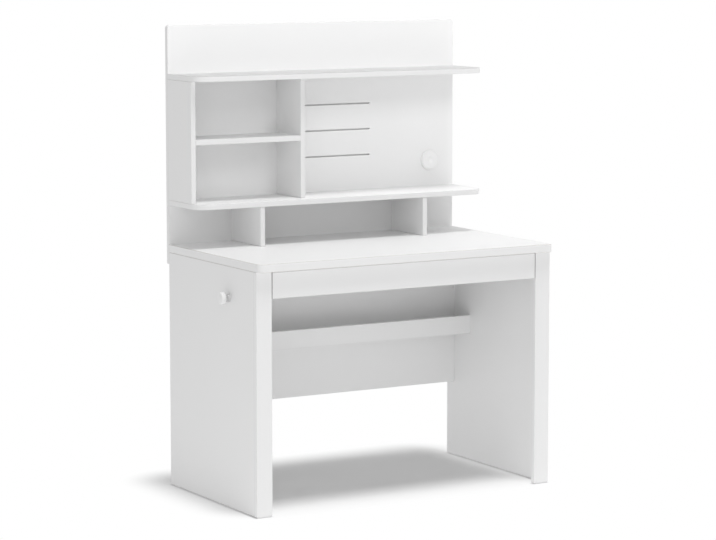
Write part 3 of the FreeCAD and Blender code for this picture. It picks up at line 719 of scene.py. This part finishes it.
class DESK_OT_thin_boards(bpy.types.Operator):
    """Gives the drawer bottom its lacquered hardboard and the packers their primed wood"""

    bl_idname = "desk.thin_boards"
    bl_label = "Drawer bottom and packers"

    def execute(self, context):
        look = context.scene.desk_look
        for node in nodes_of("white_hardboard"):
            dress(node, hardboard(look))
        wood = batten(look)
        for node in nodes_of("plain_board"):
            dress(node, wood)
        return {"FINISHED"}


class DESK_OT_runners(bpy.types.Operator):
    """Rolls the members of the drawer runners from sheet and gives the ball cages their steel"""

    bl_idname = "desk.runners"
    bl_label = "Drawer runners"

    def execute(self, context):
        look, sizes = context.scene.desk_look, context.scene.desk_sizes
        steel = plated("runner_steel", look.steel, look, span=40 * MM, line=0.5 * MM, roughness=0.34)
        for side in SIDES:
            for member in ("outer", "middle", "inner"):
                node = f"{side}_runner_{member}"
                low, high = box_of(node)
                mirrored = (side == "right") != (member == "inner")
                lip = sizes.lip if member == "outer" else 0.0
                line = channel_line(high[0] - low[0], (high[2] - low[2]) / 2, sizes.sheet, sizes.roll, lip)
                line[:, 0] = high[0] - line[:, 0] if mirrored else low[0] + line[:, 0]
                line[:, 1] += (low[2] + high[2]) / 2
                shell = rolled(line[::-1] if mirrored else line, sizes.sheet, low[1], high[1])
                build(node + "_rolled", [shell], steel, node)
        for node in ("outer_ball_cages", "inner_ball_cages"):
            dress(node, steel)
        return {"FINISHED"}


def channel_line(depth, half_height, sheet, roll, lip):
    """The middle line of a rolled channel, anticlockwise from the upper flange's end to the lower one's.

    X runs from the back of the web to the mouth. Quarter arcs join the flanges to the web and to the lips.
    """
    bend = roll - sheet / 2
    top = half_height - sheet / 2
    end = depth - sheet / 2
    if lip:
        upper = [np.array([[end, top - lip]]), arc((end - lip / 2, top - lip / 2), lip / 2, 0, 90, 5)]
    else:
        upper = [np.array([[depth, top]])]
    upper.append(arc((sheet / 2 + bend, top - bend), bend, 90, 180, 7))
    upper = np.concatenate(upper)
    lower = upper[::-1] * (1, -1)
    return np.concatenate([upper, lower])


class DESK_OT_cam_locks(bpy.types.Operator):
    """Gives the cam locks their die-cast zinc"""

    bl_idname = "desk.cam_locks"
    bl_label = "Cam locks"

    def execute(self, context):
        look = context.scene.desk_look
        zinc = plated("cast_zinc", look.zinc, look, span=6 * MM, line=0.8 * MM, roughness=0.5)
        for node in nodes_of("cam_zinc"):
            dress(node, zinc)
        return {"FINISHED"}


class DESK_OT_screws(bpy.types.Operator):
    """Turns the wood screws, the runner screws, the panel screws and the cam bolts, with their threads"""

    bl_idname = "desk.screws"
    bl_label = "Screws and bolts"

    def execute(self, context):
        look, sizes = context.scene.desk_look, context.scene.desk_sizes
        steel = plated("fastener_steel", look.steel, look, span=5 * MM, line=0.4 * MM, roughness=0.3)
        makers = {
            "packer_screws": flat_screw,
            "drawer_back_screws": flat_screw,
            "bag_peg_screw": flat_screw,
            "runner_cabinet_screws": pan_screw,
            "runner_drawer_screws": pan_screw,
            "panel_screws": panel_screw,
            "desk_cam_bolts": cam_bolt,
            "drawer_cam_bolts": cam_bolt,
        }
        for node, make in makers.items():
            build(node + "_threaded", seated(make, node, sizes), steel, node)
        return {"FINISHED"}


def threaded(seat, head, pitch, depth, recess, sizes, point=2):
    """A turned fastener along +Z: a head, a thread round its core, a point, and a recess for the driver.

    head holds (radius, height) steps from the rim of its face to the start of the thread. The length of the
    point is given in radii of the core. recess holds an outline and a depth; its floor is the outline at two
    thirds.
    """
    sides = sizes.thread_sides
    head = np.asarray(head, float)
    (rim, face), (core, start) = head[[0, -1]]
    end = seat.length - point * core
    rows = max(int(round((end - start) / pitch * sizes.thread_steps)), 4)
    height = np.linspace(start, end, rows)[1:]
    stem = core + ridge(height, start, end, pitch, depth, sides)
    outline, sunk = recess
    floor = outline * 2 / 3
    socket = np.stack([0 * floor, floor, outline, (outline + rim) / 2])
    radius = np.concatenate([socket, np.repeat(head[:, :1], sides, 1), stem, np.zeros((1, sides))])
    level = np.concatenate([[face + sunk, face + sunk, face, face], head[:, 1], height, [seat.length]])
    return loft(turned(radius, level, sides))


def flat_screw(seat, sizes):
    """A countersunk wood screw with a cross recess; the head narrows to the core at 45 degrees."""
    rim, land = seat.radius, 0.1 * MM
    bar, slit, sunk = 0.6 * rim, 0.16 * rim, 0.4 * rim
    core = (rim - sizes.thread_depth) / 2
    head = [(rim, 0.0), (rim, land), (core, rim - core)]
    recess = (cross_outline(bar, slit, sizes.thread_sides), sunk)
    return threaded(seat, head, sizes.screw_pitch, sizes.thread_depth / 2, recess, sizes)


def pan_screw(seat, sizes):
    """A pan-head screw with a cross recess; the head is a quarter ellipse round a flat, on a cylinder."""
    rim = seat.radius
    bar, slit, sunk = 0.5 * rim, 0.14 * rim, 0.35 * rim
    core = (rim - sizes.thread_depth) / 2
    pitch = 0.75 * sizes.screw_pitch
    tall, flat = 0.57 * rim, 0.62 * rim
    domed = 0.62 * tall
    dome = arc((0, 0), 1, -90, 0, 5) * (rim - flat, domed) + (flat, domed)
    head = [*dome, (rim, tall), (core, tall)]
    recess = (cross_outline(bar, slit, sizes.thread_sides), sunk)
    return threaded(seat, head, pitch, sizes.thread_depth / 2, recess, sizes)


def panel_screw(seat, sizes):
    """A connecting screw: a countersunk head with a hexagon socket, a plain shank and a coarse thread."""
    rim, shank, core = seat.radius, 0.7 * seat.radius, 0.48 * seat.radius
    land, sink, shank_end, taper = 0.3 * MM, 3 * MM, 15 * MM, 1 * MM
    half_key, sunk = 2 * MM, 2.4 * MM
    head = [(rim, 0.0), (rim, land), (shank, sink), (shank, shank_end), (core, shank_end + taper)]
    recess = (hexagon_outline(half_key, sizes.thread_sides), sunk)
    return threaded(seat, head, sizes.panel_pitch, shank - core, recess, sizes)


def cam_bolt(seat, sizes):
    """A cam bolt from its head to its thread: a rounded head, a neck, a bevelled shank and the thread."""
    rim = seat.radius
    neck, shank, core = 0.59 * rim, 0.88 * rim, 0.6 * rim
    bar, slit, sunk, thread = 0.55 * rim, 0.16 * rim, 1.2 * MM, 0.12 * rim
    neck_start, neck_end, bevel, thread_length = 3 * MM, 9 * MM, 0.6 * MM, 11 * MM
    thread_start = seat.length - thread_length
    head = [
        (0.7 * rim, 0.0), (0.93 * rim, 0.3 * MM), (rim, 0.9 * MM), (rim, 2.2 * MM), (0.93 * rim, 2.7 * MM),
        (neck, neck_start), (neck, neck_end), (shank, neck_end + bevel), (shank, thread_start),
        (core, thread_start),
    ]
    recess = (cross_outline(bar, slit, sizes.thread_sides), sunk)
    return threaded(seat, head, sizes.bolt_pitch, thread, recess, sizes, point=1)


class DESK_OT_dowels(bpy.types.Operator):
    """Turns the beech dowels with their flutes and chamfered ends"""

    bl_idname = "desk.dowels"
    bl_label = "Dowels"

    def execute(self, context):
        look, sizes = context.scene.desk_look, context.scene.desk_sizes
        wood = beech(look)
        for node in nodes_of("dowel_beech"):
            build(node + "_fluted", seated(fluted_dowel, node, sizes), wood, node)
        return {"FINISHED"}


def fluted_dowel(seat, sizes):
    """A dowel along +Z: r = R - depth * (0.5 - 0.5 cos(flutes * t)) between its chamfered ends."""
    sides = 4 * sizes.flutes
    chamfer = sizes.dowel_chamfer
    angle = round_angles(sides)
    flute = seat.radius - sizes.flute_depth * (0.5 - 0.5 * np.cos(sizes.flutes * angle))
    end = np.full(sides, seat.radius - chamfer)
    radius = np.stack([0 * end, end, flute, flute, end, 0 * end])
    height = [0, 0, chamfer, seat.length - chamfer, seat.length, seat.length]
    return loft(turned(radius, height, sides))


class DESK_OT_screw_caps(bpy.types.Operator):
    """Moulds the cover caps over the panel screws"""

    bl_idname = "desk.screw_caps"
    bl_label = "Screw caps"

    def execute(self, context):
        look, sizes = context.scene.desk_look, context.scene.desk_sizes
        plastic = moulded("cap_plastic", look, tone=0.98, grain=0.6 * MM)
        boxes = boxes_of("panel_screw_caps")
        shells = [stood(screw_cap(low, high, sizes), low, high, (0, -1, 0)) for low, high in boxes]
        build("panel_screw_caps_moulded", shells, plastic, "panel_screw_caps")
        return {"FINISHED"}


def screw_cap(low, high, sizes):
    """The cap's profile from its face, at the back of the desk: a dimple, a rounded brim and a plug."""
    rim, deep = (high[0] - low[0]) / 2, high[1] - low[1]
    brim, plug, rounding = 1.2 * MM, 2.0 * MM, 0.5 * MM
    dimple = [(0, 0.25 * MM), (rim / 2, 0.2 * MM), (rim - 3 * rounding, 0)]
    edge = arc((rim - rounding, rounding), rounding, -90, 0, 5)
    stem = [(rim, brim), (plug, brim), (plug, deep), (0, deep)]
    return lathe(np.concatenate([dimple, edge, stem]), sizes.sides // 2)


class DESK_OT_grommet(bpy.types.Operator):
    """Moulds the cable grommet: a sleeve with a rounded flange, and a cap with a finger dish"""

    bl_idname = "desk.grommet"
    bl_label = "Cable grommet"

    def execute(self, context):
        look, sizes = context.scene.desk_look, context.scene.desk_sizes
        plastic = moulded("grommet_plastic", look, tone=1.03, grain=0.7 * MM)
        for name, make in (("grommet_sleeve", sleeve), ("grommet_cap", cap)):
            low, high = box_of(name)
            shell = stood(make(low, high, sizes), low, high, (0, 1, 0))
            build(name + "_moulded", [shell], plastic, name)
        return {"FINISHED"}


def sleeve(low, high, sizes):
    """The sleeve's profile loop: a flange with a rounded front, the tube, the bore and the cap's seat."""
    flange, deep = (high[0] - low[0]) / 2, high[1] - low[1]
    proud = box_of("hutch_back_panel")[0][1] - low[1]
    tube, bore, seat, seat_depth = 30 * MM, 26 * MM, 29 * MM, 3 * MM
    front, back, inner = 1.2 * MM, 0.6 * MM, 0.8 * MM
    profile = np.concatenate([
        arc((flange - front, front), front, -90, 0, 7),
        arc((flange - back, proud - back), back, 0, 90, 7),
        [(tube, proud), (tube, deep), (bore, deep), (bore, seat_depth), (seat, seat_depth)],
        arc((seat + inner, inner), inner, 180, 270, 5),
    ])
    return hoop(turned(*profile.T, sizes.sides))


def cap(low, high, sizes):
    """The cap's profile: a finger dish of depth * (1 - (r / R)^2)^2, a rounded edge, a skirt and a boss."""
    rim, deep = (high[0] - low[0]) / 2, high[1] - low[1]
    disc, rounding = 3.3 * MM, 1.4 * MM
    skirt, wall, boss, boss_end = 25.7 * MM, 2.2 * MM, 19 * MM, 6.6 * MM
    across = np.linspace(0, 1, 15)
    dish = np.stack([across * sizes.dish_radius, sizes.dish_depth * (1 - across**2) ** 2], 1)
    profile = np.concatenate([
        dish,
        arc((rim - rounding, rounding), rounding, -90, 0, 7),
        [(rim, disc), (skirt, disc), (skirt, deep), (skirt - wall, deep), (skirt - wall, disc)],
        [(boss, disc), (boss, boss_end), (0, boss_end)],
    ])
    return lathe(profile, sizes.sides)


class DESK_OT_bag_peg(bpy.types.Operator):
    """Moulds the knob of the bag peg and turns the metal sleeve behind it"""

    bl_idname = "desk.bag_peg"
    bl_label = "Bag peg"

    def execute(self, context):
        look, sizes = context.scene.desk_look, context.scene.desk_sizes
        plastic = moulded("peg_plastic", look, tone=1.0, grain=0.8 * MM)
        nickel = plated("satin_nickel", look.nickel, look, span=8 * MM, line=0.3 * MM, roughness=0.38)
        for node, make, material in (("bag_peg", knob, plastic), ("bag_peg_sleeve", peg_sleeve, nickel)):
            low, high = box_of(node)
            shell = make(high[0] - low[0], (high[2] - low[2]) / 2, sizes)
            build(node + "_turned", [stood(shell, low, high, (-1, 0, 0))], material, node)
        return {"FINISHED"}


def knob(reach, rim, sizes):
    """The knob's profile from its back: a small ease, the rounded front edge and a slightly domed face."""
    back, front, dome = 1.0 * MM, sizes.knob_round, 0.8 * MM
    face = np.linspace(rim - front, 0, 9)
    profile = np.concatenate([
        [(0, 0), (rim - 2 * back, 0)],
        arc((rim - back, back), back, -90, 0, 5),
        arc((rim - front, reach - dome - front), front, 0, 80, 9),
        np.stack([face, reach - dome * (face / rim) ** 2], 1)[1:],
    ])
    return lathe(profile, sizes.sides)


def peg_sleeve(reach, rim, sizes):
    """The sleeve's profile loop: a tube with chamfered ends that narrows by half a sine in the middle."""
    bore, chamfer = 2.9 * MM, 0.6 * MM
    along = np.linspace(0, 1, 13)
    waist = rim - sizes.peg_waist * np.sin(np.pi * along)
    outside = np.stack([waist, chamfer + along * (reach - 2 * chamfer)], 1)
    profile = np.concatenate([
        [(rim - chamfer, 0)], outside, [(rim - chamfer, reach), (bore, reach), (bore, 0)],
    ])
    return hoop(turned(*profile.T, sizes.sides))


class DESK_OT_foot_glides(bpy.types.Operator):
    """Moulds the foot glides under the legs"""

    bl_idname = "desk.foot_glides"
    bl_label = "Foot glides"

    def execute(self, context):
        look, sizes = context.scene.desk_look, context.scene.desk_sizes
        plastic = moulded("glide_plastic", look, tone=0.93, grain=0.9 * MM)
        shells = [shell for low, high in boxes_of("foot_glides") for shell in glide(low, high, sizes)]
        build("foot_glides_moulded", shells, plastic, "foot_glides")
        return {"FINISHED"}


def glide(low, high, sizes):
    """A pad and its pin. The pad's rings are superellipses |x / a|^6 + |y / b|^6 = 1 that round off below."""
    half, top = (high - low)[:2] / 2, high[2] - low[2]
    squareness, tall, ease = 6, 3.5 * MM, 0.3 * MM
    pin, taper, tip = 3 * MM, 3 * MM, 1.8 * MM
    angle = round_angles(sizes.sides)
    along = np.stack([np.cos(angle), np.sin(angle)], 1)
    outline = np.sign(along) * np.abs(along) ** (2 / squareness)
    rounding = arc((0, sizes.glide_round), sizes.glide_round, -90, 0, 6)
    inset = np.concatenate([[half.max()], sizes.glide_round - rounding[:, 0], [0, ease, half.max()]])
    level = np.concatenate([[0], rounding[:, 1], [tall - ease, tall, tall]])
    rings = np.empty((len(inset), sizes.sides, 3))
    rings[:, :, :2] = np.maximum(half - inset[:, None], 0)[:, None] * outline
    rings[:, :, 2] = level[:, None]
    stem = np.array([(0, tall), (pin, tall), (pin, top - taper), (tip, top), (0, top)])
    return [stood(shell, low, high, (0, 0, 1)) for shell in (loft(rings), lathe(stem, sizes.sides // 3))]


LAMPS = {                       # the place of each lamp and its width, in metres
    "floor_light": ((0.35, -1.2, 4.8), 1.0),
    "key_light": ((0.5, -1.7, 6.8), 1.4),
    "side_light": ((3.6, -0.4, 3.6), 2.2),
    "fill_light": ((-3.1, -4.1, 2.6), 3.0),
    "panel_light": ((0.4, -2.9, 3.1), 1.0),
}


class DESK_OT_stage(bpy.types.Operator):
    """Sets the camera, the floor and the studio light"""

    bl_idname = "desk.stage"
    bl_label = "Stage"

    def execute(self, context):
        scene, stage = context.scene, context.scene.desk_stage
        set_camera(scene, stage)
        lay_floor(scene, stage)
        set_sky(scene, stage)
        cad, made = frame["nodes"], scene.objects
        grommet = [made["grommet_sleeve_moulded"], made["grommet_cap_moulded"]]
        reaches = {
            "floor_light": ("INCLUDE", [made["floor"]]),
            "key_light": ("EXCLUDE", [cad["hutch_top_shelf"]]),
            "panel_light": ("INCLUDE", [cad["hutch_back_panel"], cad["hutch_top_shelf"], *grommet]),
        }
        for name, (place, size) in LAMPS.items():
            add_lamp(scene, name, place, size, getattr(stage, name), reaches.get(name))
        scene.view_settings.view_transform = "Standard"
        return {"FINISHED"}


def set_camera(scene, stage):
    data = bpy.data.cameras.new("camera")
    data.lens = stage.lens
    camera = bpy.data.objects.new("camera", data)
    camera.location = stage.camera_place
    camera.rotation_euler = Euler((math.pi / 2 - stage.pitch, 0.0, -stage.yaw))
    scene.collection.objects.link(camera)
    scene.camera = camera


def add_lamp(scene, name, place, size, power, reach):
    """A square soft light that faces the middle of the desk. It may be kept to some pieces, or off some."""
    data = bpy.data.lights.new(name, "AREA")
    data.shape = "SQUARE"
    data.size = size
    data.energy = power
    lamp = bpy.data.objects.new(name, data)
    lamp.location = place
    middle = (CAD_BOX[0] + CAD_BOX[1]) / 2
    lamp.rotation_euler = (middle - lamp.location).to_track_quat("-Z", "Y").to_euler()
    if reach:
        state, pieces = reach
        receivers = bpy.data.collections.new(name + "_reach")
        for piece in pieces:
            receivers.objects.link(piece)
        for receiver in receivers.collection_objects:
            receiver.light_linking.link_state = state
        lamp.light_linking.receiver_collection = receivers
    scene.collection.objects.link(lamp)


def seen(tree):
    """One for the camera and for what mirrors or lets through, and nothing for the light on the object."""
    path = add_node(tree, "LightPath").outputs
    mirrored = calc(tree, "MAXIMUM", path["Is Glossy Ray"], path["Is Transmission Ray"])
    return calc(tree, "MAXIMUM", path["Is Camera Ray"], mirrored)


def lay_floor(scene, stage):
    """A round floor: rings of radius R * (i / n)^2 at even angles, white but for the shadow on it."""
    count, sides = 24, 96
    shell = loft(turned(stage.floor_radius * np.linspace(0, 1, count) ** 2, np.zeros(count), sides))
    faces = shell.quads[:, ::-1].tolist() + shell.triangles[:sides, ::-1].tolist()
    mesh = bpy.data.meshes.new("floor")
    mesh.from_pydata(shell.points[:-1], [], faces)
    floor = bpy.data.objects.new("floor", mesh)
    scene.collection.objects.link(floor)
    mesh.materials.append(floor_material(stage))


def outside(tree, place, middle, half):
    """The distance of a floor point outside a rectangle, which is given by its middle and half its size."""
    offset = vector_calc(tree, "ABSOLUTE", vector_calc(tree, "SUBTRACT", place, (*middle, 0.0)))
    past = vector_calc(tree, "MAXIMUM", vector_calc(tree, "SUBTRACT", offset, (*half, 0.0)))
    return add_node(tree, "VectorMath", {0: past}, operation="LENGTH").outputs["Value"]


def floor_material(stage):
    """Matt white that glows a little on the desk; the camera sees it as white but for the shadow by the desk.

    The shadow shows inside a rectangle and fades out over its soft margin: with d the distance of the floor
    point outside the rectangle, it is whole at d = 0 and gone at d = margin. It is whole under the legs too.
    """
    material = bpy.data.materials.new("studio_floor")
    material.use_nodes = True
    tree = material.node_tree
    tree.nodes.clear()
    looked_at = seen(tree)
    place = object_place(tree)
    soft = outside(tree, place, stage.shadow_middle, stage.shadow_half)
    clear = calc(tree, "MULTIPLY", rise(tree, soft, 0.0, stage.shadow_margin), looked_at)
    for leg in (f"{side}_{board}" for side in SIDES for board in ("side_panel", "front_stile")):
        low, high = box_of(leg)
        near = outside(tree, place, (low + high)[:2] / 2, (high - low)[:2] / 2)
        clear = calc(tree, "MULTIPLY", clear, rise(tree, near, 0.0, stage.contact_margin))
    white = spread(tree, looked_at, stage.floor_white, stage.floor_seen)
    glow = spread(tree, looked_at, stage.floor_glow, stage.shadow_lift)
    matt = add_node(tree, "BsdfDiffuse", {"Color": white})
    light = add_node(tree, "Emission", {"Strength": glow})
    both = add_node(tree, "AddShader", {0: matt.outputs[0], 1: light.outputs[0]})
    plain = add_node(tree, "Emission")
    mixed = add_node(tree, "MixShader", {0: clear, 1: both.outputs[0], 2: plain.outputs[0]})
    out = add_node(tree, "OutputMaterial")
    tree.links.new(mixed.outputs[0], out.inputs["Surface"])
    return material


def set_sky(scene, stage):
    """Even light from all round; the camera sees plain white."""
    world = bpy.data.worlds.new("studio")
    scene.world = world
    world.use_nodes = True
    tree = world.node_tree
    strength = spread(tree, seen(tree), stage.sky, 1.0)
    tree.links.new(strength, tree.nodes["Background"].inputs["Strength"])
    tree.nodes["Background"].inputs["Color"].default_value = (1.0, 1.0, 1.0, 1.0)


class DESK_PT_sidebar(bpy.types.Panel):
    """Lists the settings and the steps that build the desk"""

    bl_idname = "DESK_PT_sidebar"
    bl_label = "Student desk"
    bl_space_type = "VIEW_3D"
    bl_region_type = "UI"
    bl_category = "Desk"

    def draw(self, context):
        for step in STEPS:
            self.layout.operator(step.bl_idname)
        for group in (context.scene.desk_look, context.scene.desk_sizes, context.scene.desk_stage):
            box = self.layout.box()
            for name in group.bl_rna.properties.keys():
                if name not in ("rna_type", "name"):
                    box.prop(group, name)


STEPS = (
    DESK_OT_boards,
    DESK_OT_thin_boards,
    DESK_OT_runners,
    DESK_OT_cam_locks,
    DESK_OT_screws,
    DESK_OT_dowels,
    DESK_OT_screw_caps,
    DESK_OT_grommet,
    DESK_OT_bag_peg,
    DESK_OT_foot_glides,
    DESK_OT_stage,
)
SETTINGS = {"desk_look": DeskLook, "desk_sizes": DeskSizes, "desk_stage": DeskStage}


def register():
    for made in (*SETTINGS.values(), *STEPS, DESK_PT_sidebar):
        bpy.utils.register_class(made)
    for name, group in SETTINGS.items():
        setattr(bpy.types.Scene, name, PointerProperty(type=group))


def unregister():
    for name in SETTINGS:
        delattr(bpy.types.Scene, name)
    for made in (DESK_PT_sidebar, *reversed(STEPS), *reversed(SETTINGS.values())):
        bpy.utils.unregister_class(made)


def main():
    """Registers the add-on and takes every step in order."""
    register()
    for step in STEPS:
        group, name = step.bl_idname.split(".")
        getattr(getattr(bpy.ops, group), name)()


if __name__ == "__main__":
    main()
